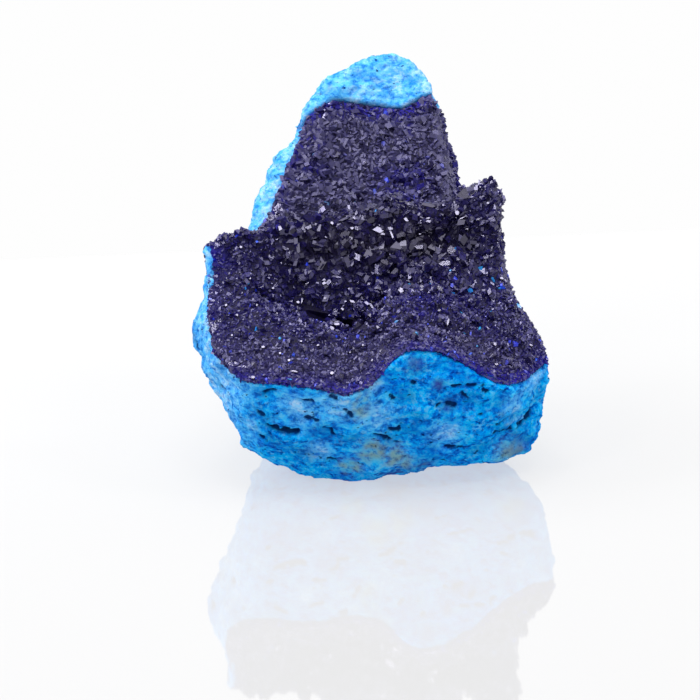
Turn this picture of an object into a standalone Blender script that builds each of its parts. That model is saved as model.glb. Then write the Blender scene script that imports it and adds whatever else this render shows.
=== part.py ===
"""An azurite specimen: a lump of soft blue stone with a druse, a crust of dark azurite crystals, over its front.

The stone is a loft. Lines run across it from left to right, from the base up the broken front face, over the
druse and the bare cap and down the back. The druse is the same surface between its lower lip and the cap,
given a thickness and set with crystals. Every place in the lines is in millimetres from the stone's foremost
point of rest, with X to the right, Y to the back and Z up.
"""

import math
import random

import bmesh
import bpy
import numpy as np
from mathutils import Matrix, Vector, noise

MM = 0.001

CRUST_THICKNESS = 1.5 * MM
CRUST_SINK = 0.3 * MM  # how far the crust's face lies below the lines, which run over the crystals' tips
SEAT_GAP = 0.3 * MM  # between the crust and the stone
LIP_TAPER = 0.34  # the crust's first row is this much of its thickness, the second twice it, and so on
EDGE_GAP = 0.5 * MM  # between the crust's right and rear edges and the stone
BED_CLEARANCE = 1.5 * MM  # how far the cut for the crust reaches above its face
LIP_OVERRUN = 3.0 * MM  # how far that cut runs past the front and left edges

COLUMNS_LEFT, COLUMNS_ACROSS, COLUMNS_RIGHT = 3, 34, 4
ROW_SPACING = 1.6 * MM
CRUST_STEP = 2  # the crust uses every second column
STONE_VOXEL = 0.9 * MM
STONE_TRIANGLES = 3300
CRUST_VOXEL = 0.4 * MM
CRUST_TRIANGLES = 1200
BED_TRIANGLES = 1100

LUMP_SIZE, LUMP_DEPTH = 7.5 * MM, 0.55 * MM
LEDGE_SIZE, LEDGE_DEPTH = 3.2 * MM, 0.50 * MM
PIT_SPACING, PIT_RADIUS, PIT_DEPTH = 5.0 * MM, 0.30, 0.9 * MM
DRUSE_LUMP_SIZE, DRUSE_LUMP_DEPTH = 4.0 * MM, 0.30 * MM

CRYSTALS = 165
CRYSTAL_WIDTH = (1.0 * MM, 2.5 * MM)
CRYSTAL_LENGTH = (1.5 * MM, 3.0 * MM)
CRYSTAL_FLATNESS = (0.35, 0.75)  # azurite grows as blades, thinner than they are wide
CRYSTAL_SPACING = 1.9 * MM
COARSE_PLACE = Vector((8.0, 6.0, 26.0)) * MM  # the crystals are largest here, on the wall above the hollow
COARSE_REACH = 19 * MM  # and smallest this far away
CRYSTAL_LEAN = (math.radians(10), math.radians(72))
CRYSTAL_DEPTH = 1.2 * MM  # the deepest corner of a crystal, below the crust's face
CRYSTAL_MARGIN = 2  # rows and columns kept clear of crystals where the crust's edge meets the stone
CRYSTAL_SEED = 12
BLADE = [(-1.0, -1.0), (1.0, -1.0), (1.0, 1.0), (-1.0, 1.0)]  # a blade's section, and a thicker prism's
PRISM = [(-1.0, 0.0), (-0.5, -1.0), (0.5, -1.0), (1.0, 0.0), (0.5, 1.0), (-0.5, 1.0)]

BLUE_STONE = (0.03, 0.30, 0.72, 1.0)
AZURITE = (0.012, 0.012, 0.10, 1.0)

# Each line is the point on the left side, the points across the front or back, and the point on the right side.
BASE_FRONT = (
    (-8.0, 14.0, -0.6),
    [(-6.0, 11.0, -0.6), (-4.0, 5.5, -0.6), (-1.5, 0.0, -0.6), (0.5, 1.0, -0.6), (4.5, 5.5, -0.6),
     (12.5, 7.0, -0.6)],
    (16.0, 11.0, -0.6),
)
FOOT = (
    (-11.5, 5.0, 5.0),
    [(-12.0, 1.0, 4.5), (-8.5, 0.0, 3.0), (-5.0, -1.0, 1.5), (-1.0, -0.5, 0.5), (4.0, -4.0, 2.5),
     (10.0, -5.0, 2.5), (18.5, -2.5, 2.5), (22.5, 0.0, 2.5), (24.0, 1.5, 3.5)],
    (22.0, 9.0, 4.0),
)
FRONT = (
    (-14.5, 4.0, 11.0),
    [(-12.5, -3.5, 10.0), (-8.5, -5.5, 9.0), (-4.0, -6.0, 8.0), (0.5, -7.0, 7.5), (4.5, -7.5, 9.0),
     (9.5, -7.5, 10.0), (15.0, -7.5, 9.0), (19.0, -5.5, 8.0), (22.5, -0.5, 7.5), (23.5, 1.5, 8.0)],
    (23.0, 9.0, 9.0),
)
LIP = (
    (-17.5, 5.5, 16.0),
    [(-11.5, -7.0, 15.0), (-4.5, -9.5, 15.0), (-1.0, -10.5, 14.5), (2.0, -11.0, 13.5), (3.5, -10.5, 15.5),
     (6.0, -10.0, 18.0), (8.0, -10.0, 19.5), (11.5, -9.5, 19.0), (14.5, -9.0, 17.0), (16.5, -8.5, 15.0),
     (19.5, -7.5, 13.0), (22.0, -5.0, 13.0), (23.5, -2.0, 13.5), (25.5, 0.0, 14.0)],
    (22.5, 9.5, 15.0),
)
LOBES = (
    (-17.0, 6.0, 19.0),
    [(-14.5, -3.5, 18.5), (-11.0, -4.0, 17.5), (-4.5, -5.0, 17.5), (1.5, -5.5, 17.0), (5.5, -5.0, 19.0),
     (9.5, -5.0, 20.5), (13.0, -4.5, 19.5), (17.5, -4.5, 17.0), (22.0, -2.0, 16.5), (24.5, 0.5, 16.5)],
    (21.0, 9.5, 18.0),
)
CREST = (
    (-16.0, 6.5, 21.0),
    [(-15.0, 0.5, 21.0), (-11.5, 0.5, 21.0), (-4.5, -0.5, 20.5), (-1.0, -1.0, 19.5), (1.0, -1.5, 18.5),
     (2.5, -1.5, 19.0), (4.5, -2.0, 21.0), (7.0, -2.5, 22.5), (9.5, -2.0, 22.5), (12.5, -2.0, 22.0),
     (16.5, -1.0, 19.5), (20.0, 0.5, 19.5), (22.0, 1.5, 18.5)],
    (20.5, 9.5, 20.5),
)
HOLLOW = (
    (-15.5, 7.0, 23.5),
    [(-15.0, 3.0, 23.0), (-11.5, 3.5, 23.5), (-6.0, 5.5, 20.5), (-3.5, 6.5, 18.5), (1.0, 7.0, 16.5),
     (3.0, 7.0, 17.0), (5.0, 4.5, 19.5), (7.0, 3.5, 22.0), (10.0, 3.0, 23.0), (17.0, 2.5, 22.0),
     (20.0, 3.0, 22.0), (20.5, 4.0, 21.0)],
    (20.0, 10.0, 23.0),
)
BROW = (
    (-15.5, 7.5, 24.0),
    [(-15.0, 4.0, 24.0), (-11.5, 4.5, 24.5), (-6.0, 5.0, 21.0), (-3.5, 5.0, 19.5), (1.0, 4.5, 18.5),
     (3.0, 4.0, 18.0), (5.0, 4.0, 20.5), (7.0, 4.5, 23.0), (10.0, 4.5, 24.0), (17.0, 4.0, 23.5),
     (20.0, 4.5, 23.0), (20.5, 5.0, 22.0)],
    (20.0, 10.5, 24.0),
)
WALL = (
    (-15.0, 8.0, 25.0),
    [(-15.0, 5.5, 25.5), (-11.0, 6.0, 25.5), (-5.5, 7.0, 25.5), (0.5, 7.0, 25.5), (6.5, 7.5, 26.0),
     (11.5, 8.0, 26.0), (15.5, 8.0, 27.0), (18.5, 7.5, 27.0), (20.5, 6.5, 25.5)],
    (19.5, 11.0, 26.0),
)
RIDGE = (
    (-15.5, 9.0, 26.5),
    [(-15.5, 6.5, 28.0), (-13.0, 7.0, 29.5), (-7.0, 8.0, 29.5), (-2.5, 9.0, 30.5), (1.5, 9.5, 31.0),
     (5.5, 10.0, 32.0), (10.0, 9.5, 31.5), (13.5, 9.5, 31.5), (17.5, 9.5, 34.0), (19.0, 9.5, 35.0),
     (20.5, 9.0, 33.5)],
    (19.0, 11.5, 31.0),
)
VALLEY = (
    (-14.0, 13.0, 22.5),
    [(-13.0, 12.5, 24.0), (-7.0, 13.5, 25.5), (0.0, 14.0, 26.0), (7.0, 14.5, 26.5), (14.0, 14.0, 27.0)],
    (18.0, 14.5, 25.5),
)
REAR_FOOT = (
    (-10.0, 19.5, 26.5),
    [(-7.5, 16.0, 29.0), (-1.5, 17.0, 29.5), (4.5, 17.5, 30.0), (10.5, 17.5, 30.0), (14.0, 17.0, 30.0)],
    (16.5, 20.5, 23.0),
)
REAR_FACE = (
    (-7.5, 23.0, 32.5),
    [(-5.0, 20.5, 34.0), (0.0, 21.5, 33.5), (6.0, 22.0, 33.5), (11.5, 22.0, 33.5), (14.5, 20.5, 32.0)],
    (15.5, 25.0, 26.5),
)
CAP_EDGE = (
    (-3.0, 28.0, 38.5),
    [(-2.5, 26.5, 39.0), (0.5, 27.5, 40.5), (2.5, 27.5, 40.0), (5.5, 27.5, 39.5), (9.0, 27.0, 39.0),
     (11.0, 27.5, 40.0), (13.0, 27.0, 41.0)],
    (14.5, 30.5, 35.0),
)
CAP_TOP = (
    (-2.0, 30.0, 40.5),
    [(-1.5, 29.0, 41.5), (0.5, 29.5, 43.0), (3.0, 30.5, 44.0), (5.0, 31.5, 45.5), (9.0, 31.5, 45.0),
     (10.5, 31.0, 44.5), (12.5, 29.0, 42.5)],
    (13.5, 32.0, 38.5),
)
BACK_TOP = (
    (-3.5, 32.0, 36.5),
    [(-2.0, 34.0, 39.5), (3.0, 35.5, 42.0), (8.0, 36.0, 42.5), (11.5, 34.5, 39.5)],
    (13.5, 34.0, 33.5),
)
BACK = (
    (-10.0, 30.0, 22.0),
    [(-7.0, 35.0, 23.5), (0.0, 38.0, 26.0), (7.0, 38.5, 25.0), (13.0, 36.0, 23.0)],
    (16.5, 31.0, 20.0),
)
BACK_FOOT = (
    (-12.5, 24.5, 9.0),
    [(-9.0, 31.0, 8.0), (0.0, 35.0, 9.0), (8.0, 35.5, 8.0), (14.0, 31.5, 7.5)],
    (18.0, 25.5, 8.0),
)
BASE_BACK = (
    (-9.0, 20.0, -0.6),
    [(-6.5, 25.5, -0.6), (0.0, 29.0, -0.6), (7.0, 29.0, -0.6), (12.0, 25.0, -0.6)],
    (15.5, 19.0, -0.6),
)
LINES = [
    BASE_FRONT, FOOT, FRONT, LIP, LOBES, CREST, HOLLOW, BROW, WALL, RIDGE, VALLEY, REAR_FOOT, REAR_FACE, CAP_EDGE,
    CAP_TOP, BACK_TOP, BACK, BACK_FOOT, BASE_BACK,
]
# The flat breaks round the sides and back: a place on each and the way it faces.
BREAKS = [
    ((-5.5, 34.0, 24.0), (-0.62, 0.75, 0.22)),
    ((11.0, 35.5, 22.0), (0.60, 0.78, 0.15)),
    ((1.0, 34.5, 10.0), (0.05, 0.80, -0.60)),
    ((21.5, 12.0, 8.0), (0.93, 0.25, -0.25)),
    ((-13.5, 16.0, 8.0), (-0.85, 0.20, -0.45)),
    ((-2.5, 32.5, 39.0), (-0.55, 0.55, 0.63)),
]
LEFT_CENTRE = (-14.5, 16.0, 14.0)
RIGHT_CENTRE = (20.5, 18.0, 13.0)
FIRST_DRUSE_LINE, LAST_DRUSE_LINE = LINES.index(LIP), LINES.index(CAP_EDGE)


def clear_scene():
    for obj in list(bpy.data.objects):
        bpy.data.objects.remove(obj, do_unlink=True)


def material(name, colour, roughness):
    made = bpy.data.materials.new(name)
    made.use_nodes = True
    shader = made.node_tree.nodes["Principled BSDF"]
    shader.inputs["Base Color"].default_value = colour
    shader.inputs["Roughness"].default_value = roughness
    shader.inputs["Metallic"].default_value = 0.0
    return made


def evenly(points, count):
    """That many points along a line through these, evenly spaced as seen from above."""
    points = np.array(points, float)
    steps = np.hypot(*np.diff(points[:, :2], axis=0).T)
    along = np.concatenate([[0.0], np.cumsum(steps)])
    wanted = np.linspace(0.0, along[-1], count)
    return np.array([[np.interp(w, along, points[:, axis]) for axis in range(3)] for w in wanted])


def row_of(line):
    """One line of the stone as points in metres: its left side, its front and its right side."""
    left, across, right = line
    rows = [
        evenly([left, across[0]], COLUMNS_LEFT)[:-1],
        evenly(across, COLUMNS_ACROSS),
        evenly([across[-1], right], COLUMNS_RIGHT)[1:],
    ]
    return np.concatenate(rows) * MM


def rows_between(lines):
    """The lines with further rows between them, about ROW_SPACING apart."""
    rows = [lines[0]]
    for low, high in zip(lines, lines[1:]):
        gap = np.linalg.norm(high - low, axis=1).max()
        count = max(1, math.ceil(gap / ROW_SPACING))
        rows.extend(low + (high - low) * step / count for step in range(1, count + 1))
    return rows


def add_sheet(bm, rows, closed=False):
    """Joins rows of points with quads. A closed sheet also joins its last row to its first."""
    made = [[bm.verts.new(point) for point in row] for row in rows]
    pairs = list(zip(made, made[1:]))
    if closed:
        pairs.append((made[-1], made[0]))
    for low, high in pairs:
        for column in range(len(low) - 1):
            bm.faces.new((low[column], low[column + 1], high[column + 1], high[column]))
    return made


def add_object(name, bm, collection):
    mesh = bpy.data.meshes.new(name)
    bmesh.ops.recalc_face_normals(bm, faces=bm.faces)
    bm.to_mesh(mesh)
    bm.free()
    obj = bpy.data.objects.new(name, mesh)
    collection.objects.link(obj)
    return obj


def freeze(obj):
    """Puts what the modifiers make into the mesh."""
    bpy.context.view_layer.update()
    graph = bpy.context.evaluated_depsgraph_get()
    mesh = bpy.data.meshes.new_from_object(obj.evaluated_get(graph))
    old = obj.data
    obj.modifiers.clear()
    obj.data = mesh
    bpy.data.meshes.remove(old)


def lump(point, size, depth):
    return depth * noise.fractal(point / size, 1.0, 2.0, 3)


def pit(point):
    """Depth of a round pit here. Pits sit at the cells of a Voronoi pattern that is squashed upright."""
    flat = Vector((point.x, point.y, point.z * 1.8)) / PIT_SPACING
    near = noise.voronoi(flat)[0][0]
    return PIT_DEPTH * max(0.0, 1.0 - near / PIT_RADIUS)


def roughen_stone(obj):
    """Lumps, ledges and pits of the broken stone."""
    bm = bmesh.new()
    bm.from_mesh(obj.data)
    bm.normal_update()
    moves = []
    for vert in bm.verts:
        ledge = Vector((vert.co.x, vert.co.y, vert.co.z * 2.2))
        rise = lump(vert.co, LUMP_SIZE, LUMP_DEPTH) + lump(ledge, LEDGE_SIZE, LEDGE_DEPTH) - pit(vert.co)
        moves.append(vert.normal * rise)
    for vert, move in zip(bm.verts, moves):
        vert.co += move
    bm.to_mesh(obj.data)
    bm.free()


def even(obj, voxel):
    remesh = obj.modifiers.new("even", "REMESH")
    remesh.mode = "VOXEL"
    remesh.voxel_size = voxel
    freeze(obj)


def lighten(obj, triangles):
    thin = obj.modifiers.new("light", "DECIMATE")
    thin.ratio = triangles / sum(len(face.vertices) - 2 for face in obj.data.polygons)
    thin.use_collapse_triangulate = True
    freeze(obj)


def full_stone(lines, collection):
    """The stone before the crust's bed is cut: the closed loft, made even, rough and light."""
    bm = bmesh.new()
    rows = rows_between([*lines, lines[0]])[:-1]
    made = add_sheet(bm, rows, closed=True)
    for column, centre in ((0, LEFT_CENTRE), (-1, RIGHT_CENTRE)):
        hub = bm.verts.new(Vector(centre) * MM)
        ring = [row[column] for row in made]
        for low, high in zip(ring, ring[1:] + ring[:1]):
            bm.faces.new((low, high, hub))
    for place, facing in BREAKS:
        everything = bm.verts[:] + bm.edges[:] + bm.faces[:]
        cut = bmesh.ops.bisect_plane(
            bm, geom=everything, plane_co=Vector(place) * MM, plane_no=Vector(facing), clear_outer=True
        )
        rim = [part for part in cut["geom_cut"] if isinstance(part, bmesh.types.BMEdge)]
        bmesh.ops.holes_fill(bm, edges=rim)
    stone = add_object("matrix", bm, collection)
    even(stone, STONE_VOXEL)
    roughen_stone(stone)
    lighten(stone, STONE_TRIANGLES)
    return stone


def druse_rows(lines):
    """The druse's own face: the stone's lines from the lip to the cap, right round its right shoulder."""
    first = COLUMNS_LEFT - 1
    return [row[first::CRUST_STEP] for row in rows_between(lines[FIRST_DRUSE_LINE : LAST_DRUSE_LINE + 1])]


def rippled(rows):
    """The druse's rows with low lumps, each point moved square to the sheet."""
    bm = bmesh.new()
    made = add_sheet(bm, rows)
    bm.normal_update()
    up = 1.0 if sum(face.normal.z for face in bm.faces) > 0 else -1.0
    moved = []
    for row in made:
        rises = [lump(vert.co, DRUSE_LUMP_SIZE, DRUSE_LUMP_DEPTH) - CRUST_SINK for vert in row]
        moved.append([vert.co + vert.normal * up * rise for vert, rise in zip(row, rises)])
    bm.free()
    return moved


def carried_on(near, far, distance):
    return near + (near - far).normalized() * distance


def overrun(rows):
    """The rows carried well past the front and left edges of the druse, and a seat gap past the other two."""
    wider = []
    for row in rows:
        left = carried_on(row[0], row[1], LIP_OVERRUN)
        right = carried_on(row[-1], row[-2], EDGE_GAP)
        wider.append([left, *row, right])
    front = [carried_on(near, far, LIP_OVERRUN) for near, far in zip(wider[0], wider[1])]
    back = [carried_on(near, far, EDGE_GAP) for near, far in zip(wider[-1], wider[-2])]
    return [front, *wider, back]


def offset_slab(name, rows, lows, high, collection):
    """A closed slab over the sheet of rows. Its underside is lows, one for each row, below it."""
    bm = bmesh.new()
    made = add_sheet(bm, rows)
    bm.normal_update()
    up = 1.0 if sum(face.normal.z for face in bm.faces) > 0 else -1.0
    normals = [[vert.normal * up for vert in row] for row in made]
    bm.free()
    bm = bmesh.new()
    layers = []
    for heights in ([-low for low in lows], [high] * len(rows)):
        sheet = [[point + n * rise for point, n in zip(row, ns)] for row, ns, rise in zip(rows, normals, heights)]
        layers.append(add_sheet(bm, sheet))
    under, over = layers
    rims = []
    for layer in (under, over):
        left = [row[0] for row in layer][::-1]
        right = [row[-1] for row in layer][1:-1]
        rims.append(layer[0] + right + layer[-1][::-1] + left[1:-1])
    for a, b, c, d in zip(rims[0], rims[0][1:] + rims[0][:1], rims[1][1:] + rims[1][:1], rims[1]):
        bm.faces.new((a, b, c, d))
    return add_object(name, bm, collection)


def boolean(obj, operation, other):
    cut = obj.modifiers.new(operation.lower(), "BOOLEAN")
    cut.operation = operation
    cut.object = other
    cut.solver = "EXACT"
    cut.use_self = operation == "UNION"
    freeze(obj)


def beside(face):
    """The faces that share an edge with this one, and no third face with it."""
    pairs = (edge.link_faces for edge in face.edges if len(edge.link_faces) == 2)
    return {other for pair in pairs for other in pair}


def drop_crumbs(obj):
    """Removes what a cut or a join left loose, keeping the largest body."""
    bm = bmesh.new()
    bm.from_mesh(obj.data)
    waiting = set(bm.faces)
    bodies = []
    while waiting:
        edge = [waiting.pop()]
        body = list(edge)
        while edge:
            joined = beside(edge.pop()) & waiting
            waiting -= joined
            edge.extend(joined)
            body.extend(joined)
        bodies.append(body)
    largest = max(bodies, key=len)
    crumbs = [face for body in bodies if body is not largest for face in body]
    bmesh.ops.delete(bm, geom=crumbs, context="FACES")
    bm.to_mesh(obj.data)
    bm.free()


def base_block(collection):
    """What is ground away below the face that the stone rests on."""
    bm = bmesh.new()
    bmesh.ops.create_cube(bm, size=1.0)
    bmesh.ops.scale(bm, vec=(120 * MM, 120 * MM, 20 * MM), verts=bm.verts)
    bmesh.ops.translate(bm, vec=(0, 15 * MM, -10 * MM), verts=bm.verts)
    return add_object("ground_cut", bm, collection)


def add_crystal(bm, place, turn, lean, section, width, flatness, length):
    """One azurite crystal with a chisel end. It is buried as far as the crust is thick enough to hold it."""
    half_width, half_depth = width / 2, width / 2 * flatness
    room = (CRYSTAL_DEPTH - half_width * math.sin(lean)) / math.cos(lean)
    buried, shoulder, tip = -min(0.4 * length, room), 0.36 * length, 0.55 * length

    def ring(height):
        return [bm.verts.new(place + turn @ Vector((x * half_width, y * half_depth, height))) for x, y in section]

    low, high = ring(buried), ring(shoulder)
    left, right = (bm.verts.new(place + turn @ Vector((x * half_width * 0.6, 0.0, tip))) for x in (-1.0, 1.0))
    for i, (a, b) in enumerate(zip(low, low[1:] + low[:1])):
        bm.faces.new((a, b, high[(i + 1) % len(high)], high[i]))
    bm.faces.new(low[::-1])
    if len(section) == 4:
        front, back, ends = [(high[0], high[1])], [(high[2], high[3])], [(high[1], high[2]), (high[3], high[0])]
    else:
        front, back = [(high[1], high[2])], [(high[4], high[5])]
        ends = [(high[2], high[3]), (high[3], high[4]), (high[5], high[0]), (high[0], high[1])]
    for a, b in front:
        bm.faces.new((a, b, right, left))
    for a, b in back:
        bm.faces.new((a, b, left, right))
    for i, (a, b) in enumerate(ends):
        bm.faces.new((a, b, right if i < len(ends) / 2 else left))


def crystals_on(rows, collection):
    """The larger crystals, spread over the druse and never closer than CRYSTAL_SPACING."""
    rng = random.Random(CRYSTAL_SEED)
    sheet = bmesh.new()
    add_sheet(sheet, [row[1:-CRYSTAL_MARGIN] for row in rows[1:-CRYSTAL_MARGIN]])
    sheet.normal_update()
    up = 1.0 if sum(face.normal.z for face in sheet.faces) > 0 else -1.0
    faces = list(sheet.faces)
    areas = [face.calc_area() for face in faces]
    bm = bmesh.new()
    places = []
    for _ in range(CRYSTALS * 40):
        if len(places) == CRYSTALS:
            break
        face = rng.choices(faces, areas)[0]
        a, b, c, d = (vert.co for vert in face.verts)
        across, along = rng.random(), rng.random()
        place = a.lerp(b, across).lerp(d.lerp(c, across), along)
        if any((place - other).length < CRYSTAL_SPACING for other in places):
            continue
        places.append(place)
        lean = rng.uniform(*CRYSTAL_LEAN)
        side = Matrix.Rotation(rng.uniform(0, 2 * math.pi), 3, face.normal) @ face.normal.orthogonal().normalized()
        axis = face.normal * up * math.cos(lean) + side * math.sin(lean)
        turn = axis.to_track_quat("Z", "Y").to_matrix() @ Matrix.Rotation(rng.uniform(0, math.pi), 3, "Z")
        far = min(1.0, (place - COARSE_PLACE).length / COARSE_REACH)
        size = (1.0 - far) * (0.45 + 0.55 * rng.random())
        width = CRYSTAL_WIDTH[0] + size * (CRYSTAL_WIDTH[1] - CRYSTAL_WIDTH[0])
        length = CRYSTAL_LENGTH[0] + size * (CRYSTAL_LENGTH[1] - CRYSTAL_LENGTH[0])
        section = BLADE if rng.random() < 0.7 else PRISM
        add_crystal(bm, place, turn, lean, section, width, rng.uniform(*CRYSTAL_FLATNESS), length)
    sheet.free()
    return add_object("crystals", bm, collection)


def centre_on_base(objects):
    """Moves the pieces so that the origin is under the middle of the specimen, on the surface it rests on."""
    corners = np.array([vert.co for obj in objects for vert in obj.data.vertices])
    middle = (corners.min(axis=0) + corners.max(axis=0)) / 2
    shift = Matrix.Translation((-middle[0], -middle[1], -corners[:, 2].min()))
    for obj in objects:
        obj.data.transform(shift)


def build():
    clear_scene()
    specimen = bpy.data.collections.new("azurite_specimen")
    helpers = bpy.data.collections.new("cutters")
    for collection in (specimen, helpers):
        bpy.context.scene.collection.children.link(collection)

    lines = [row_of(line) for line in LINES]
    face = rippled(druse_rows(lines))

    stone = full_stone(lines, specimen)
    depths = [CRUST_THICKNESS * min(1.0, LIP_TAPER * (row + 1)) for row in range(len(face))]
    seats = [depth + SEAT_GAP for depth in [depths[0], *depths, depths[-1]]]
    bed = offset_slab("bed_cut", overrun(face), seats, BED_CLEARANCE, helpers)
    even(bed, CRUST_VOXEL)
    lighten(bed, BED_TRIANGLES)
    ground = base_block(helpers)
    boolean(stone, "DIFFERENCE", bed)
    boolean(stone, "DIFFERENCE", ground)
    drop_crumbs(stone)

    crust = offset_slab("azurite_druse", face, depths, 0.0, specimen)
    even(crust, CRUST_VOXEL)
    lighten(crust, CRUST_TRIANGLES)
    crystals = crystals_on(face, helpers)
    boolean(crust, "UNION", crystals)
    drop_crumbs(crust)

    for cutter in (bed, ground, crystals):
        cutter.hide_render = True
        cutter.display_type = "WIRE"
    stone.data.materials.append(material("blue_stone", BLUE_STONE, 0.85))
    crust.data.materials.append(material("azurite", AZURITE, 0.25))
    centre_on_base([stone, crust])


build()
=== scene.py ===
"""The looks of an azurite specimen: chalky blue stone under a druse of dark azurite crystals.

Places are in millimetres from the stone's foremost point of rest, with X to the right, Y to the back and
Z up, and REST_POINT moves them into the frame of the CAD. A few details are placed by where the photograph
shows them: a line of sight through the picture point is followed to the surface that carries the detail.
"""

import itertools
import math
import random

import bmesh
import bpy
import numpy as np
from mathutils import Matrix, Quaternion, Vector, noise
from mathutils.bvhtree import BVHTree
from mathutils.kdtree import KDTree


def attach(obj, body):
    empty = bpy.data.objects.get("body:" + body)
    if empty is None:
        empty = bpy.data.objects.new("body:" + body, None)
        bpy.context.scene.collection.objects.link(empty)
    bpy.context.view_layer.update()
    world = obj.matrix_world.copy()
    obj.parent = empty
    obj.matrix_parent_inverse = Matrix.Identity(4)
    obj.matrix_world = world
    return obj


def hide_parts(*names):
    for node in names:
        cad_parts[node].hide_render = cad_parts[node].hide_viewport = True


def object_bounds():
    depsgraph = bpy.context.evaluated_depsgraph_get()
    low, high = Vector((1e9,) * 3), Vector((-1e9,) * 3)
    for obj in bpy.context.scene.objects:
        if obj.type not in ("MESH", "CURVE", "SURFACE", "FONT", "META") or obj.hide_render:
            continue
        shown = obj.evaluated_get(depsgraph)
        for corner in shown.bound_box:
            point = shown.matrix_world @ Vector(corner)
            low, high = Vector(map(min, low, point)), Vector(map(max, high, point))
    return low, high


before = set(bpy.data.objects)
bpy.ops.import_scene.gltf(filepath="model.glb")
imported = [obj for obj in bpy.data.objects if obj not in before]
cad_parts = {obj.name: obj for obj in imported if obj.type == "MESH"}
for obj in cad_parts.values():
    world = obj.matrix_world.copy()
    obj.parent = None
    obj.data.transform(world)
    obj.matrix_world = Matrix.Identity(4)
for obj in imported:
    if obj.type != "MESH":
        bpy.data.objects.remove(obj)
CAD_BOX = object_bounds()

MM = 0.001
STONE_NODE, DRUSE_NODE, BODY = "matrix", "azurite_druse", "root"
BOX_MARGIN = 0.02 * MM  # every piece stays this far inside the CAD's box
LOWEST, HIGHEST = np.array(CAD_BOX[0]) + BOX_MARGIN, np.array(CAD_BOX[1]) - BOX_MARGIN
LAYERING = 1.7  # the stone's patterns are this much flatter than they are wide
TRAITS = ("tone", "fine", "rim", "glint", "frost")  # what each crystal's points carry, each from 0 to 1

# The camera of the photograph: a long lens, close to the floor and rolled a little.
REST_POINT = Vector((-3.648, -14.032, 0.0)) * MM
REST_PIXEL = (345, 481)
PICTURE = 700
MIDDLE = PICTURE / 2
CAMERA_RAISED = math.radians(15.0)
CAMERA_ROLL = math.radians(2.6)
CAMERA_DISTANCE = 445 * MM
PIXEL_SIZE = 0.118 * MM  # at the rest point
FOCAL_PIXELS = CAMERA_DISTANCE / PIXEL_SIZE
SENSOR_MM = 36.0


# ---------------------------------------------------------------- camera and lines of sight


def camera_axes():
    """The camera's forward, right and up."""
    forward = Vector((0.0, math.cos(CAMERA_RAISED), -math.sin(CAMERA_RAISED)))
    level = Vector((1.0, 0.0, 0.0))
    upright = Vector((0.0, math.sin(CAMERA_RAISED), math.cos(CAMERA_RAISED)))
    right = math.cos(CAMERA_ROLL) * level - math.sin(CAMERA_ROLL) * upright
    up = math.cos(CAMERA_ROLL) * upright + math.sin(CAMERA_ROLL) * level
    return forward, right, up


FORWARD, RIGHT, UP = camera_axes()
CAMERA_PLACE = REST_POINT - (
    CAMERA_DISTANCE * FORWARD
    + (REST_PIXEL[0] - MIDDLE) * PIXEL_SIZE * RIGHT
    - (REST_PIXEL[1] - MIDDLE) * PIXEL_SIZE * UP
)


def place_camera():
    data = bpy.data.cameras.new("camera")
    data.sensor_width = SENSOR_MM
    data.lens = SENSOR_MM * FOCAL_PIXELS / PICTURE
    data.clip_start, data.clip_end = 10 * MM, 10.0
    camera = bpy.data.objects.new("camera", data)
    bpy.context.scene.collection.objects.link(camera)
    place = Matrix((RIGHT, UP, -FORWARD)).transposed().to_4x4()
    place.translation = CAMERA_PLACE
    camera.matrix_world = place
    bpy.context.scene.camera = camera


def sight(across, down):
    """The direction in which the camera sees a point of the picture."""
    across, down = across - MIDDLE, down - MIDDLE
    return (FORWARD + RIGHT * across / FOCAL_PIXELS - UP * down / FOCAL_PIXELS).normalized()


def seen_on(surface, across, down):
    """Where the line of sight through a picture point meets a surface, and the surface's normal there."""
    place, normal, _, _ = surface.ray_cast(CAMERA_PLACE, sight(across, down))
    return place, normal


# ---------------------------------------------------------------- colours and material nodes


def linear(code):
    """An sRGB hex value as linear light."""
    parts = (int(code[i : i + 2], 16) / 255 for i in (1, 3, 5))
    return (*(p / 12.92 if p <= 0.04045 else ((p + 0.055) / 1.055) ** 2.4 for p in parts), 1.0)


def node(tree, kind, settings=None, stops=(), out=0, **links):
    """Adds a node and gives one of its outputs.

    Settings are its own properties, and stops a ramp's places and colours. Links are its sockets, by name or
    by number, each with a value or with another node's output.
    """
    made = tree.nodes.new("ShaderNode" + kind)
    for name, value in (settings or {}).items():
        setattr(made, name, value)
    if stops:
        band = made.color_ramp.elements
        while len(band) < len(stops):
            band.new(1.0)
        for stop, (place, code) in zip(band, stops):
            stop.position, stop.color = place, linear(code)
    for name, value in links.items():
        socket = made.inputs[int(name[1:])] if name[0] == "_" else made.inputs[name.replace("_", " ")]
        if isinstance(value, bpy.types.NodeSocket):
            tree.links.new(value, socket)
        else:
            socket.default_value = value
    return made.outputs[out] if made.outputs else None


# Settings that many nodes share. A colour mix takes its factor at socket 0 and its colours at 6 and 7.
MIX = {"data_type": "RGBA"}
SHADE = {"data_type": "RGBA", "blend_type": "MULTIPLY"}
TIMES = {"operation": "MULTIPLY"}
TIMES_PLUS = {"operation": "MULTIPLY_ADD"}


def new_material(name):
    made = bpy.data.materials.new(name)
    made.use_nodes = True
    made.node_tree.nodes.clear()
    return made, made.node_tree


# ---------------------------------------------------------------- materials


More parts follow.
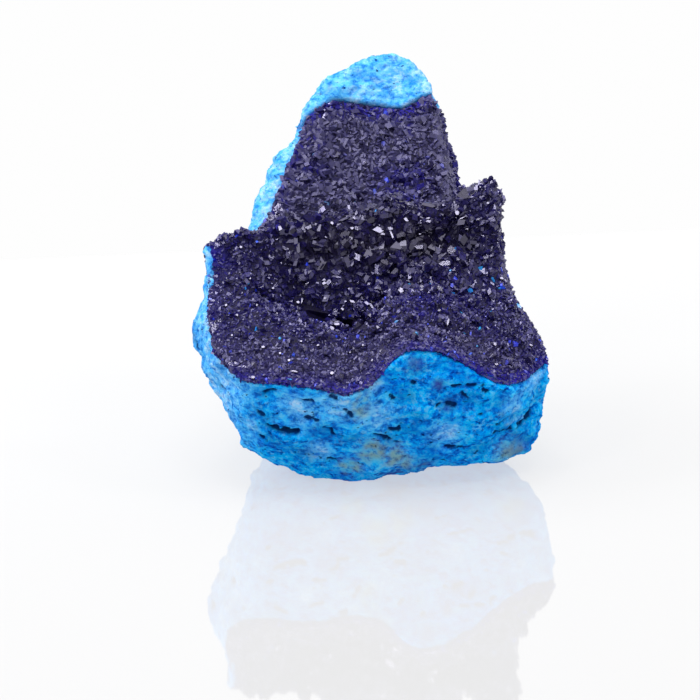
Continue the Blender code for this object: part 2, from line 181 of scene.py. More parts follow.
def chalky_azurite_stone():
    """Soft fine-grained copper carbonate, broken by hand.

    It is chalky and quite matt: cerulean, with paler crumbs, darker pores, and a few tan and violet patches.
    Its cracks, pits and a groove on the left are darkened with painted shade, and painted light adds to the
    chalky paleness of the left side, the cap and the rear.
    """
    made, tree = new_material("chalky_azurite_stone")
    pale, tan, violet, dim_and_shade, hollow_shade, stained = (
        node(tree, "Attribute", {"attribute_name": name}, out="Fac")
        for name in ("pale", "tan", "violet", "dim_and_shade", "hollow_shade", "stained")
    )
    where = node(tree, "TexCoord", out="Object")
    layered = node(tree, "Mapping", Vector=where, Scale=(1.0, 1.0, LAYERING))
    swirl = node(tree, "TexNoise", out="Color", Vector=layered, Scale=1 / (1.4 * MM), Detail=3.0)
    bent = node(tree, "VectorMath", TIMES_PLUS, _0=swirl, _1=(0.9 * MM,) * 3, _2=layered)
    patch = node(tree, "TexNoise", Vector=bent, Scale=1 / (6 * MM), Detail=4.0, Roughness=0.6)
    blotch = node(tree, "TexNoise", Vector=bent, Scale=1 / (1.5 * MM), Detail=6.0, Roughness=0.68)
    speck = node(tree, "TexNoise", Vector=layered, Scale=1 / (0.75 * MM), Detail=3.0)
    # The stone is a sponge of pores under 0.1 mm. These are two to three times that, so that they show.
    sponge = node(tree, "TexNoise", Vector=where, Scale=1 / (0.6 * MM), Detail=3.0, Roughness=0.65)
    grain = node(tree, "TexNoise", Vector=where, Scale=1 / (0.2 * MM), Detail=3.0, Roughness=0.7)

    blues = ((0.37, "#0054ac"), (0.44, "#008ae8"), (0.51, "#00aeff"), (0.58, "#00baff"), (0.68, "#44caff"))
    pale_stops = ((0.34, "#2a98ee"), (0.48, "#66bcf8"), (0.64, "#b6dcfc"))
    shades = ((0.33, "#2a70c0"), (0.41, "#8cc0f0"), (0.48, "#ffffff"))
    blue = node(tree, "ValToRGB", stops=blues, Fac=blotch)
    broad = node(tree, "ValToRGB", stops=((0.36, "#5c9ae0"), (0.48, "#f6fafe"), (0.66, "#ffffff")), Fac=patch)
    blue = node(tree, "Mix", SHADE, out=2, _0=0.5, _6=blue, _7=broad)
    pale_colour = node(tree, "ValToRGB", stops=pale_stops, Fac=blotch)
    # The pale mark is partly chalk and partly painted light: the left side, the cap and the rear are painted
    # paler.
    colour = node(tree, "Mix", MIX, out=2, _0=pale, _6=blue, _7=pale_colour)
    crumbs = node(tree, "MapRange", Value=sponge, _1=0.52, _2=0.64, _3=0.0, _4=0.7)
    shown = node(tree, "MapRange", Value=patch, _1=0.40, _2=0.58, _3=0.25, _4=1.0)
    crumbs = node(tree, "Math", TIMES, _0=crumbs, _1=shown)
    colour = node(tree, "Mix", MIX, out=2, _0=crumbs, _6=colour, _7=linear("#68c8fc"))
    for patches, strength, tint in ((tan, 0.8, "#86a69c"), (violet, 0.75, "#3b3f8e")):
        share = node(tree, "Math", TIMES, _0=patches, _1=strength)
        colour = node(tree, "Mix", MIX, out=2, _0=share, _6=colour, _7=linear(tint))
    pores = node(tree, "ValToRGB", stops=shades, Fac=sponge)
    colour = node(tree, "Mix", SHADE, out=2, _0=0.6, _6=colour, _7=pores)
    pricks = node(tree, "MapRange", Value=speck, _1=0.335, _2=0.28, _3=0.0, _4=0.9)
    # Painted shade: the cracks and the pocks are darkened toward deep blue, and the small pricks with them.
    slots = node(tree, "MapRange", Value=hollow_shade, _1=0.25, _2=0.55, _3=0.0, _4=0.95)
    deep = node(tree, "Math", {"operation": "MAXIMUM"}, _0=slots, _1=pricks)
    # Darker patches; along the left strip's groove they are painted shade.
    share = node(tree, "Math", TIMES, _0=dim_and_shade, _1=0.5)
    for amount, tint in ((share, "#045cae"), (deep, "#04265c"), (stained, "#161046")):
        colour = node(tree, "Mix", MIX, out=2, _0=amount, _6=colour, _7=linear(tint))
    speckle = node(tree, "ValToRGB", stops=((0.30, "#7cb0ec"), (0.44, "#ffffff")), Fac=grain)
    colour = node(tree, "Mix", SHADE, out=2, _0=0.35, _6=colour, _7=speckle)

    height = node(tree, "Math", TIMES_PLUS, _0=grain, _1=0.35, _2=blotch)
    height = node(tree, "Math", TIMES_PLUS, _0=sponge, _1=0.9, _2=height)
    height = node(tree, "Math", TIMES_PLUS, _0=pricks, _1=-0.6, _2=height)
    bump = node(tree, "Bump", Height=height, Strength=0.8, Distance=0.25 * MM)
    shader = node(
        tree,
        "BsdfPrincipled",
        Base_Color=colour,
        Roughness=0.9,
        IOR=1.5,
        Specular_IOR_Level=0.02,
        Normal=bump,
    )
    node(tree, "OutputMaterial", Surface=shader)
    return made


def azurite_crystal():
    """Natural azurite crystals, with glassy growth faces.

    The body is so deep a blue that it looks black, with a high refractive index, so the faces carry grey
    reflections. Thin grains by the rim glow violet-blue, and a few thin blades let royal blue or cyan
    through. The crystals of the rear part and of the lip are etched, so they are greyer and less bright.
    """
    made, tree = new_material("azurite_crystal")
    tone, fine, rim, glint, frost = (
        node(tree, "Attribute", {"attribute_name": name}, out="Fac") for name in TRAITS
    )
    where = node(tree, "TexCoord", out="Object")
    cloud = node(tree, "TexNoise", Vector=where, Scale=1 / (0.35 * MM), Detail=2.0)
    striae = node(tree, "TexNoise", Vector=where, Scale=1 / (0.16 * MM), Detail=2.0)
    body = node(tree, "ValToRGB", stops=((0.0, "#19151f"), (0.6, "#1e1a30"), (1.0, "#262058")), Fac=tone)
    lit = node(tree, "ValToRGB", stops=((0.0, "#1a1a9c"), (0.5, "#1f3fe0"), (1.0, "#2aa0e0")), Fac=glint)
    small = node(tree, "Math", TIMES, _0=fine, _1=0.8)
    dark = node(tree, "MapRange", Value=cloud, _1=0.35, _2=0.65, _3=0.0, _4=0.6)
    glows = node(tree, "Math", {"operation": "GREATER_THAN"}, _0=glint, _1=0.05)
    plain = node(tree, "Math", {"operation": "SUBTRACT"}, _0=0.55, _1=rim)
    veil = node(tree, "Math", TIMES, _0=frost, _1=plain)
    colour = node(tree, "Mix", MIX, out=2, _0=small, _6=body, _7=linear("#221b72"))
    for amount, tint in (
        (rim, linear("#2a20a8")),
        (dark, linear("#06050e")),
        (glows, lit),
        (veil, linear("#4a4768")),
    ):
        colour = node(tree, "Mix", MIX, out=2, _0=amount, _6=colour, _7=tint)
    rough = node(tree, "Math", TIMES_PLUS, _0=fine, _1=0.12, _2=0.02)
    rough = node(tree, "Math", TIMES_PLUS, _0=striae, _1=0.20, _2=rough)
    rough = node(tree, "Math", TIMES_PLUS, _0=frost, _1=0.22, _2=rough)
    bump = node(tree, "Bump", Height=striae, Strength=0.15, Distance=0.05 * MM)
    shader = node(
        tree,
        "BsdfPrincipled",
        Base_Color=colour,
        Roughness=rough,
        IOR=1.84,
        Specular_Tint=linear("#e4e0ff"),
        Normal=bump,
    )
    node(tree, "OutputMaterial", Surface=shader)
    return made


def massive_azurite():
    """The fine-grained azurite that the crystals stand on.

    It is dull and very dark, and violet-blue where it is thin.
    """
    made, tree = new_material("massive_azurite")
    rim = node(tree, "Attribute", {"attribute_name": "rim"}, out="Fac")
    where = node(tree, "TexCoord", out="Object")
    grain = node(tree, "TexNoise", Vector=where, Scale=1 / (0.3 * MM), Detail=4.0, Roughness=0.7)
    dark = node(tree, "ValToRGB", stops=((0.35, "#100c1e"), (0.65, "#1c1548")), Fac=grain)
    violet = node(tree, "ValToRGB", stops=((0.35, "#170f8c"), (0.65, "#2a1ec0")), Fac=grain)
    colour = node(tree, "Mix", MIX, out=2, _0=rim, _6=dark, _7=violet)
    bump = node(tree, "Bump", Height=grain, Strength=0.8, Distance=0.15 * MM)
    shader = node(
        tree,
        "BsdfPrincipled",
        Base_Color=colour,
        Roughness=0.5,
        IOR=1.5,
        Specular_IOR_Level=0.2,
        Normal=bump,
    )
    node(tree, "OutputMaterial", Surface=shader)
    return made


def glossy_white_acrylic():
    """A polished white acrylic sheet, lit through from below, so it takes almost no shadow."""
    made, tree = new_material("glossy_white_acrylic")
    shader = node(
        tree,
        "BsdfPrincipled",
        Base_Color=(0.183, 0.183, 0.186, 1.0),
        Roughness=0.03,
        IOR=1.38,
        Emission_Color=(1.0, 1.0, 1.0, 1.0),
        Emission_Strength=0.54,
    )
    node(tree, "OutputMaterial", Surface=shader)
    return made


# ---------------------------------------------------------------- floor and light


FLOOR_SIDE, FLOOR_NEAR, FLOOR_FAR = 420 * MM, 420 * MM, 120 * MM  # how far it runs from the rest point


def lay_floor():
    """The acrylic sheet. Its far edge is just behind the specimen, as the photograph shows."""
    left, right = REST_POINT.x - FLOOR_SIDE, REST_POINT.x + FLOOR_SIDE
    near, far = REST_POINT.y - FLOOR_NEAR, REST_POINT.y + FLOOR_FAR
    mesh = bpy.data.meshes.new("floor")
    mesh.from_pydata([(left, near, 0), (right, near, 0), (right, far, 0), (left, far, 0)], [], [(0, 1, 2, 3)])
    mesh.materials.append(glossy_white_acrylic())
    floor = bpy.data.objects.new("floor", mesh)
    bpy.context.scene.collection.objects.link(floor)


SPECIMEN_MIDDLE = (3, 12, 22)  # in mm, what the soft boxes are turned to
# The first three fill the shadows, and the small ones make the sparkles.
SOFT_BOXES = [
    # place in mm, width and height in mm, radiance
    ((-380, 120, 330), 260, 260, 4.0),
    ((0, 30, 600), 380, 380, 1.5),
    ((40, -430, 230), 320, 240, 1.9),
    ((90, -200, 470), 105, 105, 12.0),
    ((-220, -260, 330), 92, 92, 11.0),
    ((280, -120, 330), 92, 92, 10.0),
    ((-60, -60, 520), 105, 105, 11.0),
    ((-330, -60, 250), 80, 80, 11.0),
]


def light_studio():
    """A white tent, darker on the camera's side, and soft boxes whose reflections make the sparkles."""
    world = bpy.data.worlds.new("white_tent")
    bpy.context.scene.world = world
    world.use_nodes = True
    tree = world.node_tree
    tree.nodes.clear()
    way = node(tree, "TexCoord", out="Generated")
    back = node(tree, "SeparateXYZ", out="Y", Vector=way)
    upward = node(tree, "SeparateXYZ", out="Z", Vector=way)
    lean = node(tree, "Math", TIMES, _0=back, _1=0.8)
    lean = node(tree, "Math", TIMES_PLUS, _0=upward, _1=0.6, _2=lean)
    tent = node(tree, "MapRange", Value=lean, _1=-0.6, _2=0.45, _3=0.17, _4=0.97)
    # Folds and seams of the tent, so that faces turned different ways differ in brightness.
    fold = node(tree, "TexNoise", Vector=way, Scale=2.6, Detail=1.0)
    folds = node(tree, "MapRange", Value=fold, _1=0.38, _2=0.62, _3=0.55, _4=1.45)
    behind = node(tree, "MapRange", Value=back, _1=0.3, _2=0.7, _3=0.0, _4=1.0)
    even = node(tree, "Mix", _0=behind, _2=folds, _3=1.0)
    tent = node(tree, "Math", TIMES, _0=tent, _1=even)
    to_camera = node(tree, "LightPath", out="Is Camera Ray")
    seen = node(tree, "Background", Color=(1.0, 1.0, 1.0, 1.0), Strength=0.99)
    shone = node(tree, "Background", Color=(1.0, 1.0, 1.0, 1.0), Strength=tent)
    both = node(tree, "MixShader", _0=to_camera, _1=shone, _2=seen)
    node(tree, "OutputWorld", Surface=both)
    for number, (place, width, height, radiance) in enumerate(SOFT_BOXES):
        data = bpy.data.lights.new(f"soft_box_{number}", "AREA")
        data.shape = "RECTANGLE"
        data.size, data.size_y = width * MM, height * MM
        data.energy = radiance * math.pi * data.size * data.size_y
        light = bpy.data.objects.new(data.name, data)
        bpy.context.scene.collection.objects.link(light)
        light.location = REST_POINT + Vector(place) * MM
        aim = REST_POINT + Vector(SPECIMEN_MIDDLE) * MM - light.location
        light.rotation_euler = aim.to_track_quat("-Z", "Y").to_euler()
        light.visible_camera = False


# ---------------------------------------------------------------- meshes


def welded(name, cad_node):
    """A copy of a CAD solid's mesh, its split corners joined again."""
    bm = bmesh.new()
    bm.from_mesh(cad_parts[cad_node].data)
    bmesh.ops.remove_doubles(bm, verts=bm.verts, dist=0.001 * MM)
    mesh = bpy.data.meshes.new(name)
    bm.to_mesh(mesh)
    bm.free()
    obj = bpy.data.objects.new(name, mesh)
    bpy.context.scene.collection.objects.link(obj)
    return obj


def remesh_evenly(obj, step, softenings):
    """Remeshes an object at an even step and softens it."""
    remesh = obj.modifiers.new("even", "REMESH")
    remesh.mode, remesh.voxel_size = "VOXEL", step
    soften = obj.modifiers.new("soften", "SMOOTH")
    soften.factor, soften.iterations = 0.5, softenings
    bpy.context.view_layer.update()
    graph = bpy.context.evaluated_depsgraph_get()
    mesh = bpy.data.meshes.new_from_object(obj.evaluated_get(graph))
    old = obj.data
    obj.modifiers.clear()
    obj.data = mesh
    bpy.data.meshes.remove(old)


def points_of(mesh):
    points = np.empty(len(mesh.vertices) * 3, np.float64)
    mesh.vertices.foreach_get("co", points)
    return points.reshape(-1, 3)


def normals_of(mesh):
    normals = np.empty(len(mesh.vertices) * 3, np.float32)
    mesh.vertex_normals.foreach_get("vector", normals)
    return normals.reshape(-1, 3).astype(float)


def surface_of(mesh):
    return BVHTree.FromPolygons(points_of(mesh).tolist(), [tuple(face.vertices) for face in mesh.polygons])


def paint(mesh, name, values):
    layer = mesh.attributes.new(name, "FLOAT", "POINT")
    layer.data.foreach_set("value", np.asarray(values, np.float32))


def noise_at(points, size):
    """Smooth noise of a given size at each point, about -0.5 to 0.5."""
    return np.array([noise.noise(Vector(point) / size) for point in points])


def in_mm(points):
    """X, Y and Z of points, in mm from the rest point."""
    return ((points - np.array(REST_POINT)) / MM).T


def held(value):
    """A value held between 0 and 1."""
    return max(0.0, min(1.0, value))


# ---------------------------------------------------------------- the stone

STONE_STEP, STONE_SOFTENINGS = 0.30 * MM, 6
GRIT_SIZE, GRIT_DEPTH = 0.45 * MM, 0.08 * MM
WEB_SIZE, WEB_BREADTH, WEB_DEPTH = 1.9 * MM, 0.22, 0.16 * MM
LEDGE_SIZE, LEDGE_DEPTH = 2.6 * MM, 0.34 * MM
POCK_SPACING, POCK_FLATNESS, POCK_DEPTH = 1.4 * MM, 2.0, 0.40 * MM
# Sizes over the spacing. A pock that would be smaller than the last of these is left out.
POCK_LEAST, POCK_SPREAD, POCK_SHOWN = 0.16, 0.20, 0.20
CRUST_REACH = 0.9 * MM  # stone nearer the crust than this is its bed
BED_LIFT = 0.33 * MM  # closes the seat gap
CALM_WITHIN = 1.6 * MM  # the relief fades out toward the crust over this much
BASE_HEIGHT, BASE_FACING = 0.45 * MM, -0.8  # stone that is lower, and faces down further, is the rest face
RAGGED_SIZE, RAGGEDNESS = 0.7 * MM, 1.3  # of the cracks' edges
CRACK_SHARE, RIB_SHARE = 0.85, 0.5  # of the given widths, since the edges fall away softly
# Painted shade: how dark the pocks and the cracks are painted.
POCK_DARKNESS, CRACK_DARKNESS = 0.68, 0.765
PATCH_RAG_SIZE, PATCH_RAGGEDNESS = 0.9 * MM, 1.2
PALE_DRIFT_SIZE, PALE_DRIFT = 6.0 * MM, 1.1
PAST_EDGE, PAST_EDGE_FADE = 1.6 * MM, 0.5 * MM  # fine crystals run on this far past the crust's hidden edges

# Cracks, slots and pits of the broken front, carved and darkened with painted shade: picture points along
# each, its width and its depth in mm.
CRACKS = [
    ([(267, 427), (274, 429), (283, 432), (296, 434)], 0.62, 1.1),
    ([(323, 429), (330, 431), (333, 436), (342, 436)], 0.26, 0.55),
    ([(329, 460), (334, 460)], 0.32, 0.7),
    ([(390, 430), (398, 430), (402, 424)], 0.35, 0.65),
    ([(374, 436), (381, 437), (389, 441)], 0.38, 0.65),
    ([(396, 443), (399, 443)], 0.25, 0.5),
    ([(256, 411), (264, 415)], 0.32, 0.5),
    ([(260, 437), (266, 441)], 0.30, 0.5),
    ([(264, 393), (274, 391)], 0.34, 0.5),
    ([(467, 386), (482, 385)], 0.32, 0.5),
    ([(452, 386), (460, 386)], 0.28, 0.4),
    ([(461, 392), (469, 399)], 0.30, 0.5),
    ([(483, 391), (489, 392)], 0.28, 0.45),
    ([(438, 406), (446, 403), (455, 405)], 0.40, 0.55),
    ([(494, 432), (503, 430)], 0.30, 0.5),
    ([(497, 424), (504, 421)], 0.26, 0.45),
    ([(510, 431), (518, 428)], 0.30, 0.5),
    ([(442, 446), (455, 448), (468, 447)], 0.22, 0.5),
    ([(434, 460), (448, 461)], 0.28, 0.5),
    ([(480, 414), (482, 414)], 0.28, 0.5),
    ([(507, 431), (521, 423), (531, 413), (543, 408)], 0.55, 0.8),
    ([(300, 398), (312, 401)], 0.30, 0.4),
    ([(330, 396), (336, 399)], 0.35, 0.4),
    ([(306, 417), (318, 420)], 0.30, 0.35),
    ([(345, 410), (352, 416)], 0.35, 0.4),
    ([(410, 380), (414, 383)], 0.35, 0.4),
    ([(390, 395), (394, 399)], 0.30, 0.4),
    ([(194, 345), (197, 347)], 0.7, 0.6),
    ([(223, 386), (225, 387)], 0.60, 0.6),
    ([(229, 377), (230, 379)], 0.55, 0.5),
    ([(534, 410), (544, 407)], 0.60, 1.0),
]
# Ribs that stand up, as the cracks: picture points, width and height.
RIBS = [
    ([(199, 322), (203, 336), (207, 350), (212, 366), (218, 382), (221, 390)], 1.10, 0.12),
    ([(500, 415), (515, 396), (530, 382), (545, 370)], 0.45, 0.30),
    ([(505, 423), (522, 416), (545, 408)], 0.40, 0.25),
    ([(449, 430), (456, 425)], 0.50, 0.20),
]
# Bulges of stone past the crust's left edge, at the rear part and at the lip's corner, each with its middle
# and its half sizes in mm.
LEFT_BULGES = [
    ((-5.3, 24.5, 32.8), (1.9, 3.0, 2.2)),
    ((-6.2, 23.5, 31.5), (1.9, 3.0, 2.2)),
    ((-7.1, 22.0, 29.5), (1.9, 3.0, 2.2)),
    ((-7.9, 21.0, 28.0), (1.9, 3.0, 2.2)),
    ((-8.7, 19.5, 25.8), (1.9, 3.0, 2.2)),
    ((-15.1, 6.6, 27.0), (0.50, 0.8, 0.5)),
    ((-14.7, 6.2, 26.0), (0.40, 0.8, 0.8)),
    ((-14.8, 5.4, 24.6), (0.32, 0.8, 1.2)),
    ((-14.8, 4.6, 23.0), (0.30, 0.8, 1.2)),
]
# Soft patches of colour: a picture point, a radius in mm.
TAN_PATCHES = [
    ((359, 400), 1.0), ((361, 411), 1.0), ((375, 450), 1.6), ((390, 455), 1.6), ((350, 468), 1.3),
    ((402, 461), 1.2), ((508, 452), 1.5), ((366, 456), 1.1), ((518, 449), 0.9),
]
VIOLET_PATCHES = [
    ((415, 365), 1.1), ((438, 384), 0.8), ((447, 405), 0.8), ((395, 472), 1.6), ((420, 470), 1.6),
]
PALE_PATCHES = [
    ((443, 433), 1.4), ((236, 402), 0.9), ((340, 405), 2.2), ((376, 415), 1.7), ((300, 410), 2.0),
    ((515, 405), 1.2), ((533, 380), 1.2), ((250, 425), 1.2), ((318, 450), 1.3), ((372, 385), 1.0),
    ((206, 330), 1.2), ((208, 343), 1.2), ((210, 353), 1.2), ((213, 363), 1.2), ((217, 373), 1.2),
    ((222, 383), 1.2),
]
# Patches painted darker; the six from (194, 334) to (213, 388) are painted shade along the left strip's
# groove.
DARK_AND_SHADE_PATCHES = [
    ((520, 438), 2.2), ((505, 425), 1.6), ((412, 425), 1.8), ((300, 452), 1.8), ((272, 440), 1.5),
    ((262, 415), 1.3), ((238, 436), 1.2), ((322, 432), 1.5), ((352, 440), 1.2), ((405, 398), 1.3),
    ((448, 400), 1.4), ((470, 395), 1.2), ((430, 452), 1.3), ((480, 448), 1.4), ((536, 395), 1.2),
    ((500, 405), 1.0), ((390, 440), 1.2), ((194, 334), 1.3), ((195, 344), 1.5), ((198, 355), 1.2),
    ((202, 365), 1.0), ((207, 376), 1.0), ((213, 388), 0.9), ((370, 79), 0.9), ((355, 87), 0.6),
    ((330, 87), 0.6), ((262, 392), 1.0),
]
PATCHES = {"tan": TAN_PATCHES, "violet": VIOLET_PATCHES, "pale": PALE_PATCHES, "dim_and_shade": DARK_AND_SHADE_PATCHES}


def places_on(surface, path):
    """Where a surface shows the picture points of a path."""
    places = (seen_on(surface, *pixel)[0] for pixel in path)
    return [np.array(place) for place in places if place is not None]


def in_patches(points, surface, patches):
    """How far each point is in one of some patches: 1 at its middle, falling away over its radius."""
    amount = np.zeros(len(points))
    for pixel, radius in patches:
        for place in places_on(surface, [pixel]):
            away = np.linalg.norm(points - place, axis=1) / (radius * MM)
            amount = np.maximum(amount, np.exp(-(away**2)))
    return amount


def along_crack(points, path, width):
    """How deep in a crack each point is: 1 on its line, falling away over its width."""
    amount = np.zeros(len(points))
    for start, end in zip(path, path[1:]):
        run = end - start
        share = np.clip((points - start) @ run / (run @ run), 0.0, 1.0)
        away = np.linalg.norm(points - (start + share[:, None] * run), axis=1)
        amount = np.maximum(amount, np.exp(-((away / width) ** 2)))
    return amount


def stone_relief(point):
    """Rise of the broken surface at a point, in metres, and how far in a pock it is, from 0 to 1."""
    layered = Vector((point.x, point.y, point.z * LAYERING))
    web = 1.0 - min(1.0, abs(noise.noise(layered / WEB_SIZE)) / WEB_BREADTH)
    ledge = noise.fractal(layered / LEDGE_SIZE, 0.8, 2.1, 3)
    grit = noise.noise(point / GRIT_SIZE)
    flat = Vector((point.x, point.y, point.z * POCK_FLATNESS)) / POCK_SPACING
    distances, middles = noise.voronoi(flat)
    size = POCK_LEAST + POCK_SPREAD * noise.cell(Vector(middles[0]) * 3.1)
    pock = max(0.0, 1.0 - distances[0] / size) if size > POCK_SHOWN else 0.0
    rise = web * WEB_DEPTH + ledge * LEDGE_DEPTH + grit * GRIT_DEPTH - pock**0.7 * POCK_DEPTH
    return rise, pock


def add_bulges(mesh):
    bm = bmesh.new()
    bm.from_mesh(mesh)
    for place, sizes in LEFT_BULGES:
        turn = Matrix.Translation(REST_POINT + Vector(place) * MM) @ Matrix.Diagonal((*sizes, 1.0))
        bmesh.ops.create_icosphere(bm, subdivisions=3, radius=1.0 * MM, matrix=turn)
    bm.to_mesh(mesh)
    bm.free()


def cracks_and_ribs(points, front):
    """How deep each point lies in the cracks, less its height on the ribs, and its share of each."""
    carve, cracked, ribbed = (np.zeros(len(points)) for _ in range(3))
    ragged = 1.0 + RAGGEDNESS * noise_at(points, RAGGED_SIZE)
    for path, width, depth in CRACKS:
        amount = along_crack(points, places_on(front, path), width * CRACK_SHARE * MM) * ragged
        amount = np.clip(amount, 0.0, 1.0)
        carve = np.maximum(carve, amount * depth * MM)
        cracked = np.maximum(cracked, amount)
    for path, width, height in RIBS:
        amount = along_crack(points, places_on(front, path), width * RIB_SHARE * MM)
        carve -= amount * height * MM
        ribbed = np.maximum(ribbed, amount)
    return carve, cracked, ribbed


def colour_stone(mesh, points, front, ribbed):
    """Paints the soft patches of colour and painted shade that the photograph shows, and the stone's
    paleness:
    partly chalk, partly painted light.
    """
    ragged = 1.0 + PATCH_RAGGEDNESS * noise_at(points, PATCH_RAG_SIZE)
    for name, patches in PATCHES.items():
        amount = np.clip(in_patches(points, front, patches) * ragged, 0.0, 1.0)
        if name == "pale":
            # Painted light: the left side, the cap and the rear are painted paler, on top of their chalk.
            amount = np.maximum(np.maximum(amount, ribbed), chalk_and_painted_light(points))
        paint(mesh, name, amount)


def break_stone(crust_surface):
    """The stone: the CAD solid remeshed finely, with the relief and the cracks that the photograph shows."""
    stone = welded("broken_stone", STONE_NODE)
    front = surface_of(stone.data)
    add_bulges(stone.data)
    remesh_evenly(stone, STONE_STEP, STONE_SOFTENINGS)
    mesh = stone.data
    points, normals = points_of(mesh), normals_of(mesh)

    rises, pocks = np.array([stone_relief(Vector(point)) for point in points]).T
    gap, toward = np.empty(len(points)), np.empty(len(points))
    for i, (point, normal) in enumerate(zip(points, normals)):
        place, _, _, gap[i] = crust_surface.find_nearest(Vector(point))
        toward[i] = (np.array(place) - point) @ normal
    bed = (gap < CRUST_REACH) & (toward > 0.0)
    base = (points[:, 2] < BASE_HEIGHT) & (normals[:, 2] < BASE_FACING)
    kept = np.clip(gap / CALM_WITHIN, 0.0, 1.0)
    rises = np.where(bed, BED_LIFT, rises * kept)
    rises[base] = 0.0
    carve, cracked, ribbed = cracks_and_ribs(points, front)
    carve[bed | base] = 0.0
    # Painted shade: the pocks, away from the crust, and the cracks are painted darker.
    hollow_shade = np.maximum(POCK_DARKNESS * pocks * ~bed * kept, CRACK_DARKNESS * cracked)
    points = points + normals * (rises - carve)[:, None]
    points[base, 2] = np.minimum(points[base, 2], BOX_MARGIN)
    points = np.clip(points, LOWEST, HIGHEST)
    mesh.vertices.foreach_set("co", points.ravel())
    mesh.update()

    colour_stone(mesh, points, front, ribbed)
    paint(mesh, "hollow_shade", hollow_shade)
    paint(mesh, "stained", beyond_crust(points, normals, gap))
    for face in mesh.polygons:
        face.use_smooth = True
    mesh.materials.append(chalky_azurite_stone())
    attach(stone, BODY)
    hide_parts(STONE_NODE)
    return stone


def beyond_crust(points, normals, gap):
    """1 on the stone just past the crust's right and rear right edges, where fine crystals still cover it."""
    x, y, z = in_mm(points)
    rear = (y > 12.0) & (x > 9.0) & (z < 38.0)
    right = (x > 15.0) & (y > 1.5) & (z > 16.0)
    near = np.clip((PAST_EDGE - gap) / PAST_EDGE_FADE, 0.0, 1.0)
    return np.where((rear | right) & (normals[:, 0] > -0.3), near, 0.0)


def chalk_and_painted_light(points):
    """Left side, cap and rear are paler than the broken front: partly chalkier, partly painted light."""
    x, y, z = in_mm(points)
    left = np.clip((-9.0 - x) / 4.0, 0.0, 1.0) * np.clip((z - 3.0) / 6.0, 0.0, 1.0)
    cap = np.clip((y - 14.0) / 8.0, 0.0, 1.0)
    edge = np.clip((-2.0 - x) / 3.0, 0.0, 1.0) * np.clip((y - 14.0) / 3.0, 0.0, 1.0)
    drift = 1.0 + PALE_DRIFT * noise_at(points, PALE_DRIFT_SIZE)
    return np.clip(np.maximum(np.maximum(0.85 * left, 0.60 * cap) * drift, 1.15 * edge), 0.0, 1.15)


# ---------------------------------------------------------------- the druse

DRUSE_SEED = 29
# The wall above the hollow carries the coarsest crystals; they get finer away from it.
COARSE_FROM, COARSE_TO = Vector((-3.0, 7.5, 27.0)), Vector((14.0, 7.5, 27.0))
COARSE_WIDTH, FINE_WIDTH, REAR_WIDTH = 1.15, 0.50, 0.80  # crystal widths in mm
COARSE_SPREAD, COARSE_FALL = 12.0, 1.3
# Each pass of crystals: its width, as a share of the widest that the place allows, and how many of the places
# it tries.
PASSES = ((1.0, 0.12), (0.8, 0.25), (0.62, 0.5), (0.48, 1.0))
LEAST_WIDTH = 0.30
WIDTH_VARIES = (0.85, 1.15)
SPACING = 0.62  # of a crystal's width, to its nearest neighbour
TRIES = 70000
PIECE_CRYSTALS = 9000
CELL = 0.5 * MM  # placed crystals are looked up by cells of this size
CELL_REACH = 1.6  # times a crystal's own room, as far as a wider neighbour's room can touch it
UNDERSIDE_GAP = 0.3 * MM  # a place on the crust with stone this close in front of it is on its underside
COVERED_WITHIN = 0.5 * MM  # stone this close to the crust is covered by it
RIM_WIDTH = 1.2 * MM
GENERAL_STEP, GENERAL_SOFTENINGS = 0.5 * MM, 30
CLEAR_HEIGHT = 0.42 * MM  # above the crust's general face, a place is on one of its larger crystals
LARGE_KEPT_CLEAR = 0.25  # the chance that such a place stays clear
GLASSY_HEIGHT = 0.2 * MM  # faces of the crust higher than this are its larger crystals' own
VIOLET_RIM, DIM_RIM = 0.75, 0.4  # how far violet druse looks like the rim, and the most at the far edges
RIM_GRAINS = 0.8  # share of the crystals right at the rim that are dull grains
# How far back, in mm, the rear part's coarser crystals and the etched ones begin, and over how much they set
# in. The lip's etched ones are half as etched.
REAR_FROM, REAR_RUN = 13.0, 5.0
ETCHED_FROM, ETCHED_RUN = 11.5, 3.0
LIP_ETCHED_FROM, LIP_ETCHED_RUN, LIP_ETCHED = -2.0, 5.0, 0.5

# A crystal's shape in half widths: it runs from -1, under the crust, to its shoulder and then to its tip.
SHOULDER, PLATE_TOP = 0.35, 0.7
LEAN = (0.1, 1.25)  # from upright, in radians
LENGTH, BROAD, THIN = (0.75, 1.35), (0.75, 1.2), (0.3, 0.8)  # its three half sizes over half its width
SKEW = 0.35
SUNK = (0.0, 0.2)  # over its width
PLATE_SIDES, PLATE_REACH, PLATE_TURN = (4, 5, 5, 6), (0.8, 1.2), (-0.25, 0.25)


def crystal_shape(section, end_share, end_height):
    """A closed crystal of unit half width, foot at -1: its points and faces. It ends in a chisel edge."""
    count = len(section)
    points = [(x, y, -1.0) for x, y in section] + [(x, y, SHOULDER) for x, y in section]
    points += [(-end_share, 0.0, end_height), (end_share, 0.0, end_height)]
    left, right = 2 * count, 2 * count + 1
    faces = [tuple(range(count))[::-1]]
    faces += [(i, (i + 1) % count, count + (i + 1) % count, count + i) for i in range(count)]
    for i in range(count):
        a, b = count + i, count + (i + 1) % count
        xa, xb = section[i][0], section[(i + 1) % count][0]
        ya, yb = section[i][1], section[(i + 1) % count][1]
        if ya == yb and ya != 0:
            faces.append((a, b, right, left) if xb > xa else (a, b, left, right))
        else:
            faces.append((a, b, right if xa + xb > 0 else left))
    return np.array(points), faces


